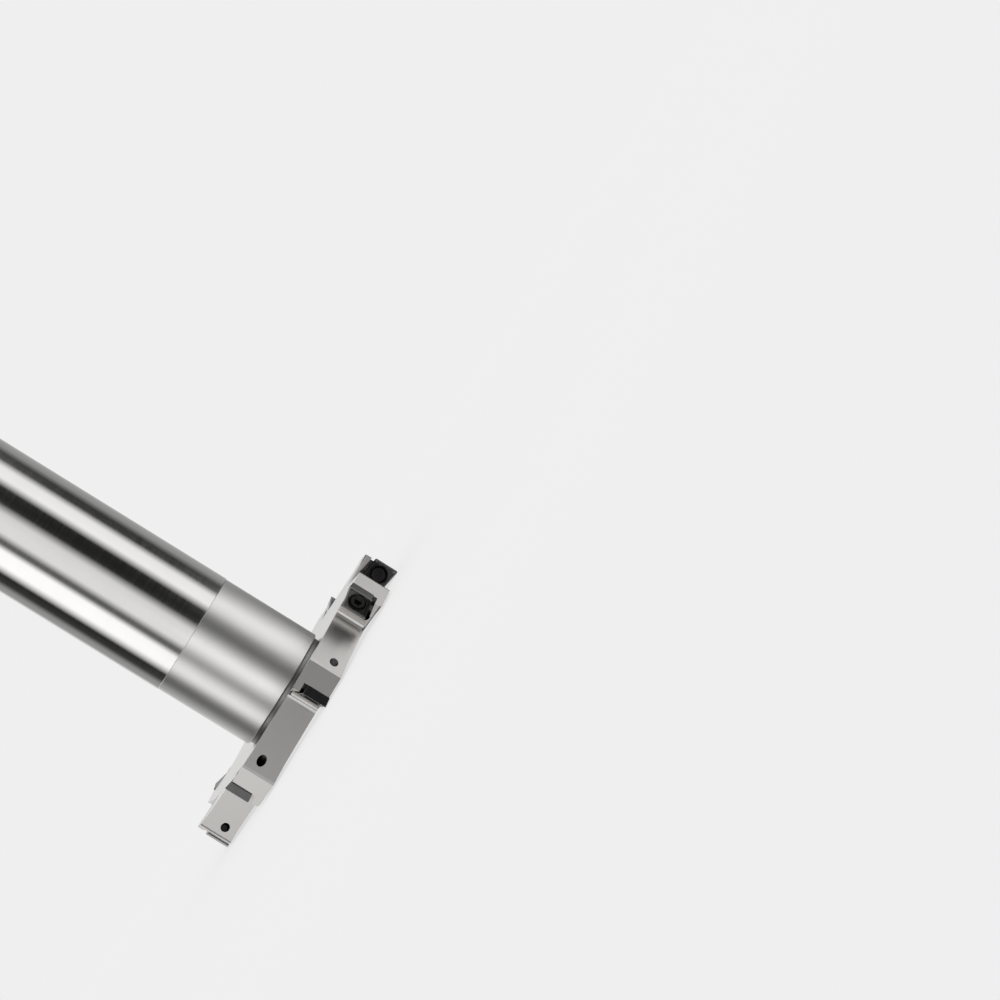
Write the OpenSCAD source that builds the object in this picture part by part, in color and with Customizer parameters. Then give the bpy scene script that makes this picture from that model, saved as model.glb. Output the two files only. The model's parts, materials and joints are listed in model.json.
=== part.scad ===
/* [Shank] */
// Diameter of the ground cylindrical shank
shank_d = 32; // [30:0.5:40]
// Length of the shank above its shoulder
shank_len = 84.8; // [50:0.4:120]
// Chamfer at the free end of the shank
shank_chamfer = 1.2; // [0.4:0.2:2.4]
// Chamfer at the shoulder between shank and neck
shoulder_chamfer = 0.1; // [0.05:0.05:0.15]
// Pilot diameter of the centre holes in both ends
centre_pilot_d = 3.2; // [2:0.2:4]
// Mouth diameter of the centre holes in both ends
centre_mouth_d = 7; // [5:0.5:9]
// Depth of the pilot of the centre holes
centre_depth = 4.2; // [4:0.2:6]

/* [Neck] */
// How far the turned neck lies below the shank's surface
neck_relief = 0.2; // [0.2:0.1:2]
// Distance from the front cutting plane to the shank's shoulder
reach = 35.2; // [25:0.4:60]
// How far the neck's foot lies inside the rear cutting plane
neck_inset = 0.55; // [0.1:0.05:0.9]
// Chamfer at the foot of the neck
neck_chamfer = 0.3; // [0.1:0.05:0.5]
// Depth of the undercut below the neck's surface
undercut_depth = 0.8; // [0.2:0.1:2]

/* [Disc] */
// Diameter over the cutting edges
cut_d = 80; // [78:0.5:90]
// Width of the slot that the cutter mills
cut_w = 9.6; // [9.4:0.1:10.4]
// How far both ends of a tooth's flat land lie inside the cutting edges
land_drop = 0.5; // [0.3:0.1:1]
// Gap between the sides of the disc and the cutting planes, at the lands
land_gap = 0.5; // [0.3:0.05:0.6]
// That gap where the disc's sides start to flare towards the lands
flare_gap = 0.75; // [0.65:0.05:0.8]
// Radial height of the flare below the lands
flare_h = 3; // [1.5:0.25:4]
// That gap at the roots of the gullets
root_gap = 0.85; // [0.8:0.05:1.3]
// That gap at the middle of the dished web
hub_gap = 1.9; // [1.4:0.1:2.5]

/* [Teeth] */
// Number of teeth, alternately cutting on the front and on the rear
teeth = 8; // [6:2:8]
// Length of a land along the circumference
land_len = 8.2; // [7.5:0.1:9]
// Radial depth of the gullets, from the lands to their sharp corners
gullet_depth = 8.3; // [7.5:0.1:10]
// Angle by which the rake faces lean back from the radius
rake_lean = 4; // [0:0.5:7]
// Length of the chamfer between a land and the tooth's flat back, on each side of the edge
heel_chamfer = 0.4; // [0.2:0.1:0.8]
// Fillet radius at the bottom of a gullet
gullet_fillet = 1.5; // [1.2:0.1:2.5]
// Rounding of the edge between the rake face and the side without an insert
edge_round = 0.9; // [0.3:0.1:1.2]

/* [Inserts] */
// Length of each of the four edges of an insert
insert_edge = 6.45; // [5.8:0.05:6.6]
// Thickness of an insert
insert_t = 2.38; // [2:0.02:3.2]
// Acute corner angle of an insert
insert_angle = 80; // [78:1:84]
// Clearance angle of an insert's flanks
insert_flank = 7; // [3:0.5:9]
// Radius of an insert's cutting corners
nose_r = 0.4; // [0.35:0.05:0.6]
// Diameter of the bore through an insert
insert_bore_d = 2.8; // [2.6:0.05:3]
// Mouth diameter of the countersink in an insert
insert_sink_d = 4.4; // [3.8:0.05:4.5]
// Width of the flat rim between an insert's edge and its chip groove
rim_w = 0.35; // [0.2:0.05:0.5]
// Depth of the chip groove
groove_depth = 0.18; // [0.1:0.02:0.25]
// Width of the sloping side of the chip groove
groove_slope = 0.4; // [0.2:0.05:0.5]
// Diameter of the raised ring round an insert's bore
ring_d = 4.8; // [4.6:0.05:5]

/* [Insert seats] */
// Clearance between an insert and the two walls that locate it
seat_fit = 0.03; // [0.02:0.01:0.06]
// Diameter of the relief drilled in the corner of a seat
relief_d = 2.4; // [1.6:0.1:2.6]
// Distance of that relief's centre inside the corner, along the axis
relief_inset = 0.5; // [0.3:0.05:0.8]
// Width of the slot between an insert and its axial seat wall
side_slot = 0.8; // [0.3:0.05:0.9]
// Radial length over which that slot is as deep as the seat, from the cutting edge
side_slot_h = 2.6; // [1.2:0.1:3]
// Height of the wall that is left to locate the insert beyond that length
wall_h = 1; // [0.6:0.1:1.6]

/* [Insert screws] */
// Diameter of the threaded hole through a tooth
thread_hole_d = 2.2; // [2:0.05:2.4]
// Clearance of the screw in its threaded hole and in the insert's countersink
screw_fit = 0.02; // [0.01:0.01:0.04]
// Head diameter of an insert screw
head_d = 3.5; // [3.3:0.05:3.6]
// Height of the cylindrical rim of the head
head_rim = 0.15; // [0.1:0.05:0.2]
// Length of the screw below the insert
screw_grip = 4.4; // [3:0.1:5.4]
// Diameter over the lobes of the six-lobe socket
socket_d = 2.2; // [1.8:0.1:2.4]
// Depth of the socket
socket_depth = 0.9; // [0.6:0.1:1.1]

/* [Hidden] */
mid_z = cut_w / 2;
total_h = reach + shank_len;
neck_r = shank_d / 2 - neck_relief;
undercut_r = neck_r - undercut_depth;
tip_r = cut_d / 2;
land_r = tip_r - land_drop;
root_r = land_r - gullet_depth;
pitch = 360 / teeth;
land_angle = land_len / land_r * 180 / PI;
first_tooth = -90;
// How far the insert's sides lean from square
lean = 90 - insert_angle;
insert_h = insert_edge * cos(lean);
insert_shift = insert_edge * sin(lean);
flank_offset = insert_t * tan(insert_flank);
insert_centre = [(insert_edge + insert_shift) / 2, insert_h / 2];
// The rounded corner stays this far short of the sharp one, along the axis
nose_short = nose_r * (1 + sin(lean)) / cos(lean) - nose_r;
// Half the included angle of the countersinks and of the centre holes' mouths
sink_half = 30;
// Facets of the turned blank, of holes and of small rounds
turned_facets = 180;
hole_facets = 48;
small_facets = 32;
// Room that cutters keep outside the metal
spare = 1;
// The turned blank's radius, from which the gullets and the flat lands are cut
blank_r = land_r + spare;
colour_steel = [0.62, 0.61, 0.59];
colour_insert = [0.13, 0.13, 0.14];
colour_screw = [0.35, 0.35, 0.37];

// Turned blank: dished disc, undercut, neck and shank in one profile
module blank() {
    shank_r = shank_d / 2;
    // The flare runs on in a straight line past the lands
    blank_gap = land_gap - (flare_gap - land_gap) * (blank_r - land_r) / flare_h;
    // Points of the disc's side: radius, and distance inside the cutting plane
    side = [[undercut_r, hub_gap], [root_r, root_gap], [land_r - flare_h, flare_gap],
            [blank_r, blank_gap]];
    rear = [for (i = [len(side) - 1 : -1 : 0]) [side[i][0], cut_w - side[i][1]]];
    foot_z = cut_w - neck_inset;
    stem = [[undercut_r, foot_z], [neck_r - neck_chamfer, foot_z],
            [neck_r, foot_z + neck_chamfer], [neck_r, reach],
            [shank_r - shoulder_chamfer, reach], [shank_r, reach + shoulder_chamfer],
            [shank_r, total_h - shank_chamfer], [shank_r - shank_chamfer, total_h],
            [0, total_h]];
    rotate_extrude($fn = turned_facets) polygon(concat([[0, hub_gap]], side, rear, stem));
}

// Round hole with a conical mouth that opens upwards to its diameter at height zero
module sunk_hole(depth, hole_d, mouth_d) {
    mouth_h = (mouth_d - hole_d) / 2 / tan(sink_half);
    // The cone runs on above the face
    rotate_extrude($fn = hole_facets)
        polygon([[0, -depth], [hole_d / 2, -depth], [hole_d / 2, -mouth_h],
                 [mouth_d / 2 + spare * tan(sink_half), spare], [0, spare]]);
}

module centre_hole() {
    mouth_h = (centre_mouth_d - centre_pilot_d) / 2 / tan(sink_half);
    sunk_hole(centre_depth + mouth_h, centre_pilot_d, centre_mouth_d);
}

// Puts its children in the frame of a tooth: x radial, the rake face at y = 0, z axial
module at_tooth(index) {
    rotate([0, 0, first_tooth + index * pitch]) children();
}

// Turns an axial offset over for the teeth that cut on the rear side
module on_side(index) {
    if (index % 2 == 0) children();
    else translate([0, 0, cut_w]) mirror([0, 0, 1]) children();
}

// Frame of a rake face: the cutting edge at x = tip_r, y = 0, and the face in y = 0
module at_rake(index) {
    at_tooth(index) translate([tip_r, 0, 0]) rotate([0, 0, rake_lean])
        translate([-tip_r, 0, 0]) children();
}

// Frame of an insert: x along the axis, y towards the hub, z up from its seat
module at_insert(index) {
    at_rake(index) on_side(index)
        translate([tip_r, insert_t, -nose_short]) rotate([90, 0, 0]) rotate([0, 0, 90]) children();
}

// Gullet in front of a rake face, with the flat back, heel and land of the tooth before it
module gullet() {
    heel_angle = land_angle - pitch;
    heel = land_r * [cos(heel_angle), sin(heel_angle)];
    front = land_r * [cos(pitch), -sin(pitch)];
    forward = (front - heel) / norm(front - heel);
    corner = [root_r, (root_r - tip_r) * tan(rake_lean)];
    rake = [cos(rake_lean), sin(rake_lean)];
    along = (heel - corner) / norm(heel - corner);
    opening = rake_lean - atan2(along[1], along[0]);
    centre = corner + gullet_fillet / tan(opening / 2) * rake
             + gullet_fillet * [rake[1], -rake[0]];
    steps = 8;
    fillet = [for (i = [0 : steps]) let (a = 90 + rake_lean + (180 - opening) * i / steps)
        centre + gullet_fillet * [cos(a), sin(a)]];
    // The line of the land runs on past its front edge, into the gullet before it
    past_front = front + spare * forward;
    out_r = blank_r + spare;
    outer = [heel - heel_chamfer * along, heel + heel_chamfer * forward, past_front,
             out_r / norm(past_front) * past_front,
             out_r / cos(pitch / 2) * [cos(pitch / 2), -sin(pitch / 2)],
             [tip_r, 0] + 2 * spare * rake];
    translate([0, 0, mid_z - cut_w]) linear_extrude(height = 2 * cut_w)
        polygon(concat(fillet, outer));
}

// Rounds the edge between the rake face and the side that carries no insert
module edge_rounding() {
    edge_z = cut_w - land_gap;
    difference() {
        translate([root_r - spare, -spare, edge_z - edge_round])
            cube([tip_r - root_r + 2 * spare, edge_round + spare, edge_round + spare]);
        translate([root_r - 2 * spare, edge_round, edge_z - edge_round]) rotate([0, 90, 0])
            cylinder(h = tip_r - root_r + 4 * spare, r = edge_round, $fn = hole_facets);
    }
}

// Block on the open side of a seat wall that leans with the insert's flank
module wall_block() {
    side = 4 * insert_edge;
    below = 2 * insert_t;
    above = 3 * insert_t;
    translate([-side, -side / 2, -below]) cube([side, side, below + above]);
}

// Seat: floor, hub-side wall, axial wall, corner relief and slot at the land
module seat() {
    room = 3 * insert_edge;
    overlap = insert_edge / 4;
    height = insert_t + 2 * spare;
    intersection() {
        translate([-room / 2, -room / 2, 0]) cube([2 * room, 2 * room, height]);
        translate([0, insert_h + seat_fit, insert_t]) rotate([-insert_flank, 0, 0])
            rotate([0, 0, 90]) wall_block();
        translate([insert_edge, 0, insert_t]) rotate([0, 0, -lean]) rotate([0, insert_flank, 0])
            translate([seat_fit, 0, 0]) wall_block();
    }
    translate([insert_edge + insert_shift - relief_inset, insert_h - relief_d / 2 + seat_fit, 0])
        cylinder(h = height, d = relief_d, $fn = hole_facets);
    translate([insert_edge, 0, 0]) rotate([0, 0, -lean])
        translate([-overlap, -room / 4, 0])
            cube([overlap + side_slot, room / 4 + side_slot_h, height]);
    translate([insert_edge, 0, wall_h]) rotate([0, 0, -lean]) translate([-overlap, 0, 0])
        cube([overlap + side_slot, insert_h - relief_d / 2, height]);
}

// Hole for a tooth's screw, right through to the tooth's flat back
module thread_hole() {
    through = land_len + 2 * insert_edge;
    translate([insert_centre[0], insert_centre[1], -through])
        cylinder(h = through + spare, d = thread_hole_d, $fn = small_facets);
}

module cutter_body() {
    color(colour_steel) difference() {
        blank();
        translate([0, 0, total_h]) centre_hole();
        translate([0, 0, hub_gap]) mirror([0, 0, 1]) centre_hole();
        for (i = [0 : teeth - 1]) {
            at_tooth(i) gullet();
            at_rake(i) on_side(i) edge_rounding();
            at_insert(i) seat();
            at_insert(i) thread_hole();
        }
    }
}

// Four cones at the corners of an insert's outline, moved in by margin
module corner_cones(margin, top_r, bottom_r, height) {
    inset = nose_r + margin;
    along_axis = inset * (1 + sin(lean)) / cos(lean);
    far_axis = inset * (1 - sin(lean)) / cos(lean);
    corners = [[along_axis, inset], [insert_edge - far_axis, inset],
               [insert_shift + far_axis, insert_h - inset],
               [insert_edge + insert_shift - along_axis, insert_h - inset]];
    for (p = corners)
        translate([p[0], p[1], 0]) cylinder(h = height, r1 = bottom_r, r2 = top_r, $fn = small_facets);
}

// Insert: rhombic plate with relieved flanks, chip groove and countersunk bore
module insert_plate() {
    groove_foot = groove_depth / 4;
    difference() {
        hull() corner_cones(0, nose_r, nose_r - flank_offset, insert_t);
        difference() {
            translate([0, 0, insert_t - groove_depth]) hull() {
                corner_cones(rim_w + groove_slope, nose_r, nose_r, groove_foot);
                translate([0, 0, groove_depth])
                    corner_cones(rim_w, nose_r, nose_r, spare);
            }
            translate([insert_centre[0], insert_centre[1], 0])
                cylinder(h = insert_t + 2 * spare, d = ring_d, $fn = hole_facets);
        }
        translate([insert_centre[0], insert_centre[1], insert_t])
            sunk_hole(insert_t + spare, insert_bore_d, insert_sink_d);
    }
}

module placed_insert(index) {
    color(colour_insert) at_insert(index) insert_plate();
}

// Six-lobe socket, opening upwards at height zero
module socket() {
    lobe_r = socket_d / 8;
    lobe_at = socket_d / 2 - lobe_r;
    translate([0, 0, -socket_depth]) linear_extrude(height = socket_depth + spare) {
        circle(r = lobe_at, $fn = small_facets);
        for (i = [0 : 5]) rotate(60 * i) translate([lobe_at, 0]) circle(r = lobe_r, $fn = small_facets);
    }
}

// Countersunk insert screw, standing on the insert's seat plane
module insert_screw() {
    screw_r = thread_hole_d / 2 - screw_fit;
    head_r = head_d / 2;
    // The head's cone lies in the countersink's, apart from the clearance
    head_z = insert_t - (insert_sink_d / 2 - head_r) / tan(sink_half) + screw_fit / sin(sink_half);
    cone_z = head_z - (head_r - screw_r) / tan(sink_half);
    tip_chamfer = screw_r / 4;
    difference() {
        rotate_extrude($fn = hole_facets)
            polygon([[0, -screw_grip], [screw_r - tip_chamfer, -screw_grip],
                     [screw_r, tip_chamfer - screw_grip], [screw_r, cone_z], [head_r, head_z],
                     [head_r, head_z + head_rim], [0, head_z + head_rim]]);
        translate([0, 0, head_z + head_rim]) socket();
    }
}

module insert_screws() {
    color(colour_screw) for (i = [0 : teeth - 1])
        at_insert(i) translate([insert_centre[0], insert_centre[1], 0]) insert_screw();
}

cutter_body();
placed_insert(0);  // front_insert_1
placed_insert(2);  // front_insert_2
placed_insert(4);  // front_insert_3
placed_insert(6);  // front_insert_4
placed_insert(1);  // rear_insert_1
placed_insert(3);  // rear_insert_2
placed_insert(5);  // rear_insert_3
placed_insert(7);  // rear_insert_4
insert_screws();
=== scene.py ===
import json
import math

import bpy
from mathutils import Matrix, Vector

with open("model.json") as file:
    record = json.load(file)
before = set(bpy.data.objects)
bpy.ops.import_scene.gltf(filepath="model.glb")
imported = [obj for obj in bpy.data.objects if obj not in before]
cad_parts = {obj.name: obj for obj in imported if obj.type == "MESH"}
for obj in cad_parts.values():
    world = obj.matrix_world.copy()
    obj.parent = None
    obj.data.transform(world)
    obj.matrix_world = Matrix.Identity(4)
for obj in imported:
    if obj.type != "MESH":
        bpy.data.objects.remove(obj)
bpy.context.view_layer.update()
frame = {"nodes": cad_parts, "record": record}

# The cutter's sizes in metres and its angles in degrees
SHANK_START = 0.0352    # height at which the polished shank starts
NECK_R = 0.0158
FIRST_TOOTH = -90.0     # azimuth of the first tooth's cutting edge
PITCH = 45.0            # angle from tooth to tooth
RAKE_LEAN = 4.0         # how far the rake faces lean back
DISC_LOW = 0.0006       # heights just inside the disc's flat sides
DISC_HIGH = 0.0090
HOLE_TURN = 2.6         # azimuth of a screw hole's middle from its tooth's edge
HOLE_REACH = 0.03674    # and its distance from the axis
HOLE_HEIGHTS = (0.00371, 0.00589)   # of the front and the rear inserts' screws
HOLE_R = 0.0011         # threaded hole's radius
HOLE_ROOM = 1.03        # its wall is looked for within this many radii
RING_R = 0.0025         # a little more than the radius of the ring round an insert's bore
UP = Vector((0.0, 0.0, 1.0))

# The camera, fitted to the disc, the neck and the shank in the photograph
SENSOR_WIDTH = 36.0     # mm
FOCAL_LENGTH = 111.23   # mm
CAMERA_PLACE = (-0.033668, -0.765956, 0.044910)
CAMERA_RIGHT = (0.51806, -0.13262, -0.84500)
CAMERA_AHEAD = (0.13239, 0.98843, -0.07397)
CLIP_NEAR = 0.01
CLIP_FAR = 100.0

# The studio: a pale background, and a floor that passes into it
BACKGROUND = 0.863      # the photograph's pale grey, as linear light
FLOOR_PAINT = 0.92
FLOOR_GLOW = 0.75       # share of the floor's tone that no shadow takes away
FLOOR_LEVEL = 0.886     # glow that brings the floor to the background's tone
FLOOR_RADIUS = 0.5
FLOOR_DROP = 0.00002    # room between the floor and the cutter's lowest face
FLOOR_RINGS = 24
FLOOR_STEPS = 96
FADE_RADII = (0.16, 0.42)   # between them the floor turns into the background

# A wall of pale and dark cards round the object, each an azimuth from the camera's and a
# brightness. A crisp band of them at eye height shows in the polished shank,
CRISP_CARDS = [(-180, 0.85), (-160, 0.80), (-150, 0.40), (-130, 0.35), (-115, 0.05),
               (-96, 0.02), (-85, 0.90), (-78, 1.40), (-52, 1.40), (-42, 0.15), (-36, 0.12),
               (-24, 1.00), (5, 0.90), (20, 0.02), (45, 0.01), (60, 1.20), (80, 1.10),
               (95, 0.04), (112, 0.04), (130, 0.35), (160, 0.45), (180, 0.85)]
# and large soft ones above and below it show in the satin neck and teeth
SOFT_CARDS = [(-180, 0.9), (-150, 0.9), (-115, 0.3), (-85, 0.1), (-70, 1.3), (-50, 0.4),
              (-30, 0.4), (-10, 1.8), (10, 0.5), (30, 0.1), (60, 0.8), (95, 1.7), (135, 0.1),
              (160, 0.1), (180, 0.9)]
BAND_FOOT = (-0.20, -0.04)  # heights between which the crisp band sets in
BAND_HEAD = (0.42, 0.58)    # and between which it ends
WALL_RADIUS = 4.0
WALL_LOW = -6.0
WALL_HIGH = 6.0
WALL_STEPS = 180

# A soft lamp overhead
LAMP_SIZE = 1.6
LAMP_POWER = 1.0
LAMP_HEIGHT = 2.0

# Where the body's finishes change, from the first value to the second
SHANK_HEIGHTS = (SHANK_START - 0.00005, SHANK_START + 0.00005)
TEETH_RADII = (0.0195, 0.0200)
# Painted shade darkens the undercut within these radii and heights
UNDERCUT_RADII = (NECK_R - 0.0003, NECK_R - 0.0001)
UNDERCUT_HEIGHTS = (0.005, 0.006)
FLAT_SLOPES = (0.8, 0.95)   # upright part of the normal on faces square to the axis
CREVICE_REACH = 0.0015      # how near a wall has to be for a crevice to get painted shade
CREVICE_SHADE_RANGE = (0.25, 0.85)
CREVICE_SAMPLES = 16

# Tones and roughnesses of the body
TURNED_DARK = (0.68, 0.674, 0.662, 1.0)
TURNED_PALE = (0.73, 0.724, 0.711, 1.0)
MILLED_TONE = (0.605, 0.588, 0.572, 1.0)
# grey of the painted shade in the undercut
UNDERCUT_SHADE_TONE = 0.3
# near black of the painted shade in crevices
CREVICE_SHADE_TONE = 0.04
SHANK_ROUGHNESS = (0.085, 0.125)
SATIN_ROUGHNESS = (0.275, 0.295)

# Patterns of the metals: how densely they lie, and the strength and depth of their relief
MOST_NOISE = (0.3, 0.7)     # a noise lies between these nearly everywhere
LINES_ROUND = 8.0           # turned lines change slowly round the axis
LINES_ALONG = 900.0         # and quickly along it
LINES_SCALE = 3.0           # and lie this much denser in both ways
RINGS_OUT = 2600.0
BODY_GRAIN = 9000.0
BODY_CLOUD = 120.0
LINES_SHARE = 0.35
RINGS_SHARE = 1.5
BODY_RELIEF = (0.15, 0.00002)
GRAIN_RELIEF = (0.2, 0.00001)
FINE = (3.0, 0.6)           # detail and roughness of a fine noise

# How faces are told apart, as room in metres and as cosines to a direction
RIM_ROOM = 0.00001          # the rim lies this close to the top of a rake face
FLOOR_ROOM = 0.0001         # a seat's floor lies less than this below its insert
TOP_ROOM = 0.0002           # the middles of its walls lie more than this below the insert's top
SEAT_ROOM = 0.0018          # its corner relief and slot lie less than this beside the insert
LAND_ROOM = 0.0015          # the land lies less than this below the insert's outer edge
TOWARDS_RAKE = 0.4
TOWARDS_LAND = 0.8
ALONG_HOLE = 0.3
CRISP_ANGLE = math.radians(12)

# Material slots, after the first
# slot of the rim's painted highlight
RIM_HIGHLIGHT_SLOT = 1
GROOVE_SLOT = 2
# slot of the painted shade in the countersink round the screw
COUNTERSINK_SHADE_SLOT = 3
# slot of the painted shade in screw holes and seats
RECESS_SHADE_SLOT = 1

scene = bpy.context.scene
scene.view_settings.view_transform = "Standard"


# Helpers for nodes and meshes

def material(name):
    mat = bpy.data.materials.new(name)
    mat.use_nodes = True
    mat.node_tree.nodes.clear()
    return mat, mat.node_tree


def node(tree, kind, **settings):
    made = tree.nodes.new(kind)
    for key, value in settings.items():
        setattr(made, key, value)
    return made


def feed(tree, target, value):
    """Links a socket, or sets a plain value on the target."""
    if isinstance(value, bpy.types.NodeSocket):
        tree.links.new(value, target)
    else:
        target.default_value = value


def feed_all(tree, made, values):
    """Feeds a node's inputs by name."""
    for key, value in values.items():
        feed(tree, made.inputs[key], value)


def math_node(tree, operation, *values):
    made = node(tree, "ShaderNodeMath", operation=operation)
    for socket, value in zip(made.inputs, values):
        feed(tree, socket, value)
    return made.outputs[0]


def times(tree, first, second):
    return math_node(tree, "MULTIPLY", first, second)


def one_minus(tree, share):
    return math_node(tree, "SUBTRACT", 1.0, share)


def span(tree, value, low, high, out_low=0.0, out_high=1.0, smooth=True):
    """Carries a value from one range over to another."""
    made = node(tree, "ShaderNodeMapRange")
    made.interpolation_type = "SMOOTHSTEP" if smooth else "LINEAR"
    feed_all(tree, made, {"Value": value, "From Min": low, "From Max": high,
                          "To Min": out_low, "To Max": out_high})
    return made.outputs["Result"]


def noise(tree, vector, scale, detail=2.0, roughness=0.5):
    made = node(tree, "ShaderNodeTexNoise")
    feed_all(tree, made, {"Vector": vector, "Scale": scale, "Detail": detail,
                          "Roughness": roughness})
    return made.outputs["Fac"]


def coordinates(tree, kind):
    return node(tree, "ShaderNodeTexCoord").outputs[kind]


def separate(tree, vector):
    made = node(tree, "ShaderNodeSeparateXYZ")
    feed(tree, made.inputs[0], vector)
    return made.outputs


def combine(tree, x, y, z):
    made = node(tree, "ShaderNodeCombineXYZ")
    feed_all(tree, made, {"X": x, "Y": y, "Z": z})
    return made.outputs[0]


def mix(tree, factor, first, second, kind="RGBA"):
    made = node(tree, "ShaderNodeMix", data_type=kind)
    feed_all(tree, made, {"Factor": factor, "A": first, "B": second})
    return made.outputs["Result"]


def ramp(tree, factor, stops):
    made = node(tree, "ShaderNodeValToRGB")
    elements = made.color_ramp.elements
    while len(elements) > 1:
        elements.remove(elements[-1])
    elements[0].position, elements[0].color = stops[0]
    for position, colour in stops[1:]:
        elements.new(position).color = colour
    feed(tree, made.inputs["Fac"], factor)
    return made.outputs["Color"]


def relief(tree, height, strength, distance):
    """Normal of a surface that a pattern raises a little."""
    made = node(tree, "ShaderNodeBump")
    feed_all(tree, made, {"Height": height, "Strength": strength, "Distance": distance})
    return made.outputs["Normal"]


def emission(tree, colour):
    made = node(tree, "ShaderNodeEmission")
    feed(tree, made.inputs["Color"], colour)
    return made.outputs[0]


def finish_tree(tree, shader, kind="ShaderNodeOutputMaterial"):
    """Makes a shader the surface of its material or world."""
    tree.links.new(shader, node(tree, kind).inputs["Surface"])


def grey(level):
    return (level, level, level, 1.0)


def circle(radius, steps, height=0.0):
    return [(radius * math.cos(math.tau * k / steps),
             radius * math.sin(math.tau * k / steps), height) for k in range(steps)]


def strip(first, second, steps):
    """Faces between two circles of points, by the numbers of their first points."""
    return [(first + k, second + k, second + (k + 1) % steps, first + (k + 1) % steps)
            for k in range(steps)]


def add_mesh(name, points, faces, mat):
    mesh = bpy.data.meshes.new(name)
    mesh.from_pydata(points, [], faces)
    mesh.materials.append(mat)
    made = bpy.data.objects.new(name, mesh)
    scene.collection.objects.link(made)
    return made


# Camera

def make_camera():
    data = bpy.data.cameras.new("camera")
    data.sensor_width = SENSOR_WIDTH
    data.lens = FOCAL_LENGTH
    data.clip_start = CLIP_NEAR
    data.clip_end = CLIP_FAR
    made = bpy.data.objects.new("camera", data)
    scene.collection.objects.link(made)
    ahead = Vector(CAMERA_AHEAD).normalized()
    up = Vector(CAMERA_RIGHT).normalized().cross(ahead).normalized()
    turn = Matrix((ahead.cross(up), up, -ahead)).transposed().to_4x4()
    made.matrix_world = Matrix.Translation(CAMERA_PLACE) @ turn
    scene.camera = made
    return made


camera = make_camera()
VIEW_AZIMUTH = math.atan2(camera.location.y, camera.location.x)


# Studio

def make_world():
    world = bpy.data.worlds.new("studio")
    world.use_nodes = True
    scene.world = world
    tree = world.node_tree
    tree.nodes.clear()
    plain = node(tree, "ShaderNodeBackground")
    feed(tree, plain.inputs["Color"], grey(BACKGROUND))
    finish_tree(tree, plain.outputs[0], "ShaderNodeOutputWorld")


def pale_floor():
    """Matt paint with a glow of its own, which alone is left where the background starts."""
    mat, tree = material("pale_floor")
    length = node(tree, "ShaderNodeVectorMath", operation="LENGTH")
    feed(tree, length.inputs[0], coordinates(tree, "Object"))
    glow_share = span(tree, length.outputs["Value"], *FADE_RADII, FLOOR_GLOW, 1.0)
    faded = span(tree, glow_share, FLOOR_GLOW, 1.0, smooth=False)
    paint = node(tree, "ShaderNodeBsdfDiffuse")
    feed(tree, paint.inputs["Color"], grey(FLOOR_PAINT))
    glow = emission(tree, mix(tree, faded, grey(FLOOR_LEVEL), grey(BACKGROUND)))
    both = node(tree, "ShaderNodeMixShader")
    for socket, value in zip(both.inputs, (glow_share, paint.outputs[0], glow)):
        feed(tree, socket, value)
    finish_tree(tree, both.outputs[0])
    return mat


def make_floor():
    points = [(0.0, 0.0, 0.0)]
    for ring in range(1, FLOOR_RINGS + 1):
        points += circle(FLOOR_RADIUS * ring / FLOOR_RINGS, FLOOR_STEPS)
    faces = [(0, 1 + k, 1 + (k + 1) % FLOOR_STEPS) for k in range(FLOOR_STEPS)]
    for ring in range(1, FLOOR_RINGS):
        inner = 1 + (ring - 1) * FLOOR_STEPS
        faces += strip(inner, inner + FLOOR_STEPS, FLOOR_STEPS)
    floor = add_mesh("floor", points, faces, pale_floor())
    floor.location.z = -FLOOR_DROP
    floor.visible_glossy = False


def card_light():
    """Crisp cards in a band at eye height, and soft ones above and below it."""
    mat, tree = material("studio_cards")
    x, y, height = separate(tree, coordinates(tree, "Object"))
    angle = math_node(tree, "ARCTAN2", y, x)
    share = math_node(tree, "MULTIPLY_ADD", angle, 1 / math.tau, 0.5)
    crisp, soft = (ramp(tree, share, [((a + 180) / 360, grey(level)) for a, level in cards])
                   for cards in (CRISP_CARDS, SOFT_CARDS))
    band = times(tree, span(tree, height, *BAND_FOOT), span(tree, height, *BAND_HEAD, 1.0, 0.0))
    finish_tree(tree, emission(tree, mix(tree, band, soft, crisp)))
    return mat


def make_cards():
    points = circle(WALL_RADIUS, WALL_STEPS, WALL_LOW) + circle(WALL_RADIUS, WALL_STEPS, WALL_HIGH)
    faces = strip(0, WALL_STEPS, WALL_STEPS)
    wall = add_mesh("studio_cards", points, faces, card_light())
    wall.rotation_euler.z = VIEW_AZIMUTH
    wall.visible_camera = False
    wall.visible_diffuse = False
    wall.visible_shadow = False


def make_lamp():
    data = bpy.data.lights.new("overhead", "AREA")
    data.shape = "DISK"
    data.size = LAMP_SIZE
    data.energy = LAMP_POWER
    lamp = bpy.data.objects.new("overhead", data)
    scene.collection.objects.link(lamp)
    lamp.location = UP * LAMP_HEIGHT


make_world()
make_floor()
make_cards()
make_lamp()


# Materials

def metal(tree, colour, roughness, normal):
    shader = node(tree, "ShaderNodeBsdfPrincipled")
    feed_all(tree, shader, {"Metallic": 1.0, "Base Color": colour, "Roughness": roughness,
                            "Normal": normal})
    finish_tree(tree, shader.outputs[0])


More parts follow.
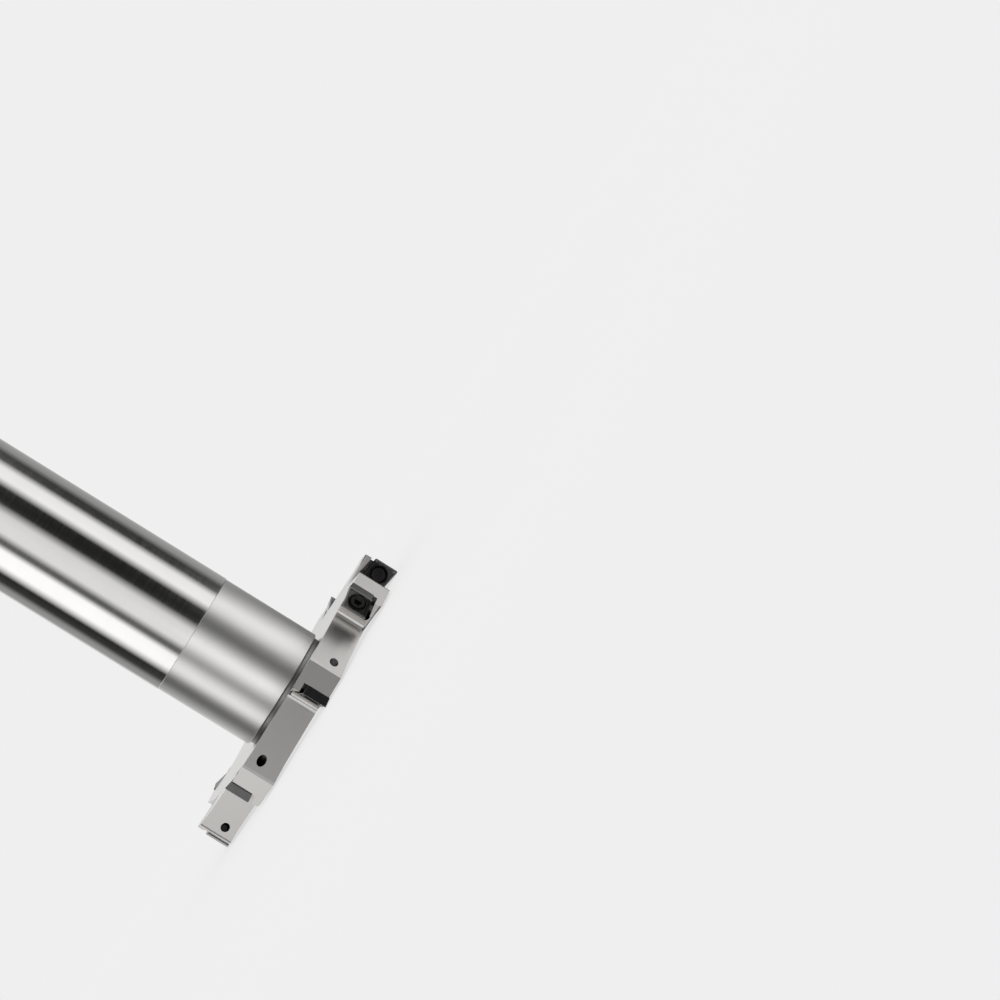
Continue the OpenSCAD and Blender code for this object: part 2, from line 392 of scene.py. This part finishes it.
def body_steel():
    """Polished shank, satin neck and disc, milled teeth, and painted shade in the undercut and in
    crevices.
    """
    mat, tree = material("body_steel")
    place = coordinates(tree, "Object")
    x, y, z = separate(tree, place)
    radius = math_node(tree, "SQRT", math_node(tree, "ADD", times(tree, x, x), times(tree, y, y)))
    upright = math_node(tree, "ABSOLUTE", separate(tree, coordinates(tree, "Normal"))["Z"])
    # Shares of each finish
    shank = span(tree, z, *SHANK_HEIGHTS)
    flat = span(tree, upright, *FLAT_SLOPES)
    teeth = times(tree, span(tree, radius, *TEETH_RADII), one_minus(tree, flat))
    # Painted shade in the undercut
    undercut = times(tree, span(tree, radius, *UNDERCUT_RADII, 1.0, 0.0),
                     span(tree, z, *UNDERCUT_HEIGHTS))
    undercut = times(tree, undercut, one_minus(tree, shank))
    # Painted shade: the colour darkens in crevices, the more closely walls enclose them
    shade_occlusion = node(tree, "ShaderNodeAmbientOcclusion", samples=CREVICE_SAMPLES)
    feed(tree, shade_occlusion.inputs["Distance"], CREVICE_REACH)
    unshaded_share = span(tree, shade_occlusion.outputs["AO"], *CREVICE_SHADE_RANGE)
    # Fine lines that run round the shank and the neck, and rings on the flat faces
    around = combine(tree, times(tree, x, LINES_ROUND), times(tree, y, LINES_ROUND),
                     times(tree, z, LINES_ALONG))
    lines = noise(tree, around, LINES_SCALE, *FINE)
    rings = noise(tree, combine(tree, times(tree, radius, RINGS_OUT), 0.0, 0.0), 1.0)
    grain = noise(tree, place, BODY_GRAIN, roughness=0.6)
    cloud = noise(tree, place, BODY_CLOUD, detail=3.0)
    colour = mix(tree, cloud, TURNED_DARK, TURNED_PALE)
    colour = mix(tree, teeth, colour, MILLED_TONE)
    colour = mix(tree, undercut, colour, grey(UNDERCUT_SHADE_TONE))
    colour = mix(tree, unshaded_share, grey(CREVICE_SHADE_TONE), colour)
    satin = span(tree, grain, *MOST_NOISE, *SATIN_ROUGHNESS, smooth=False)
    polish = span(tree, lines, *MOST_NOISE, *SHANK_ROUGHNESS, smooth=False)
    height = math_node(tree, "MULTIPLY_ADD", times(tree, lines, one_minus(tree, teeth)), LINES_SHARE,
                       times(tree, times(tree, rings, flat), RINGS_SHARE))
    metal(tree, colour, mix(tree, shank, satin, polish, "FLOAT"),
          relief(tree, height, *BODY_RELIEF))
    return mat


def grained(name, dark, pale, smooth, dull, grain_scale=7000.0, cloud_scale=500.0):
    """Fine-grained metal between two tones, and between two roughnesses."""
    mat, tree = material(name)
    place = coordinates(tree, "Object")
    grain = noise(tree, place, grain_scale, *FINE)
    cloud = noise(tree, place, cloud_scale)
    metal(tree, mix(tree, cloud, grey(dark), grey(pale)),
          span(tree, grain, *MOST_NOISE, smooth, dull, smooth=False),
          relief(tree, grain, *GRAIN_RELIEF))
    return mat


# Which faces get which finish

def level_direction(degrees):
    """Level unit vector at an azimuth."""
    return Vector((math.cos(math.radians(degrees)), math.sin(math.radians(degrees)), 0.0))


def tooth_azimuth(tooth):
    return FIRST_TOOTH + tooth * PITCH


def rake_direction(tooth):
    """Straight out of a tooth's rake face."""
    return level_direction(tooth_azimuth(tooth) + RAKE_LEAN - 90)


def land_direction(tooth):
    """Outward along a tooth's rake face."""
    return level_direction(tooth_azimuth(tooth) + RAKE_LEAN)


def extent(points, direction):
    reaches = [point.dot(direction) for point in points]
    return min(reaches), max(reaches)


def off_hole(point, tooth):
    """Distance of a point from the middle line of a tooth's screw hole."""
    rake = rake_direction(tooth)
    away = point - level_direction(tooth_azimuth(tooth) + HOLE_TURN) * HOLE_REACH
    away -= rake * away.dot(rake)
    away.z = min(abs(point.z - height) for height in HOLE_HEIGHTS)
    return away.length


def paint_rake_face_light_and_shade(piece, tooth):
    """Gives an insert's flat rim a painted highlight, the groove inside it its own tone, and the
    ring and countersink painted shade.
    """
    rake = rake_direction(tooth)
    facing = [face for face in piece.data.polygons if face.normal.dot(rake) > TOWARDS_RAKE]
    top = max(face.center.dot(rake) for face in facing)
    for face in facing:
        if off_hole(face.center, tooth) < RING_R:
            face.material_index = COUNTERSINK_SHADE_SLOT
        elif face.center.dot(rake) > top - RIM_ROOM:
            face.material_index = RIM_HIGHLIGHT_SLOT
        else:
            face.material_index = GROOVE_SLOT


def paint_shade_in_screw_hole(body, tooth):
    """Gives the wall of a threaded hole painted shade."""
    rake = rake_direction(tooth)
    for face in body.data.polygons:
        along = abs(face.normal.dot(rake)) < ALONG_HOLE
        if along and off_hole(face.center, tooth) < HOLE_R * HOLE_ROOM:
            face.material_index = RECESS_SHADE_SLOT


def paint_shade_in_seat(body, insert, tooth):
    """Gives the floor and walls of an insert's seat painted shade, but not the land beside it."""
    rake = rake_direction(tooth)
    outward = land_direction(tooth)
    corners = [vertex.co for vertex in insert.data.vertices]
    floor, top = extent(corners, rake)
    inner, outer = extent(corners, outward)
    low, high = extent(corners, UP)
    low, high = max(low - SEAT_ROOM, DISC_LOW), min(high + SEAT_ROOM, DISC_HIGH)
    for face in body.data.polygons:
        across = face.center.dot(outward)
        land = face.normal.dot(outward) > TOWARDS_LAND and across > outer - LAND_ROOM
        beside = (floor - FLOOR_ROOM < face.center.dot(rake) < top - TOP_ROOM
                  and inner - SEAT_ROOM < across < outer and low < face.center.z < high)
        if beside and not land:
            face.material_index = RECESS_SHADE_SLOT


def keep_edges_crisp(mesh):
    """Keeps a corner's smooth normal only where it lies close to its own face's."""
    normals = [corner.vector.copy() for corner in mesh.corner_normals]
    for face in mesh.polygons:
        for corner in face.loop_indices:
            if normals[corner].angle(face.normal, 0.0) > CRISP_ANGLE:
                normals[corner] = face.normal.copy()
    mesh.normals_split_custom_set(normals)


def dress(piece, finish):
    piece.data.materials.clear()
    piece.data.materials.append(finish)
    for polygon in piece.data.polygons:
        polygon.use_smooth = True
    keep_edges_crisp(piece.data)


# Grained metals: tones from dark to pale, roughness from smooth to dull, and for the screws
# also how densely grain and cloud lie
FINISHES = {"body_steel": body_steel(),
            "screw_steel": grained("screw_steel", 0.02, 0.05, 0.22, 0.32, 5000.0, 900.0),
            "coated_carbide": grained("coated_carbide", 0.08, 0.12, 0.10, 0.15)}
# In the order of the inserts' slots: the rim with painted highlight, the groove in the insert's own
# tone, the countersink with painted shade
RAKE_LIGHT_AND_TONE = (grained("rim_painted_highlight", 0.22, 0.28, 0.16, 0.24),
                 grained("pressed_groove", 0.09, 0.13, 0.2, 0.3),
                 grained("countersink_painted_shade", 0.02, 0.04, 0.2, 0.3))
# Dark painted shade for the walls of screw holes and of the inserts' seats
RECESS_SHADE = grained("painted_recess_shade", 0.08, 0.14, 0.3, 0.4)
SLOTS = {part["node"]: part["material_slot"] for part in frame["record"]["subparts"]}
BODY = frame["nodes"]["cutter_body"]

for name, piece in frame["nodes"].items():
    dress(piece, FINISHES[SLOTS[name]])
BODY.data.materials.append(RECESS_SHADE)
for name, piece in frame["nodes"].items():
    side, _, number = name.rpartition("_insert_")
    if side:
        tooth = 2 * int(number) - 2 + (side == "rear")
        for finish in RAKE_LIGHT_AND_TONE:
            piece.data.materials.append(finish)
        paint_rake_face_light_and_shade(piece, tooth)
        paint_shade_in_screw_hole(BODY, tooth)
        paint_shade_in_seat(BODY, piece, tooth)
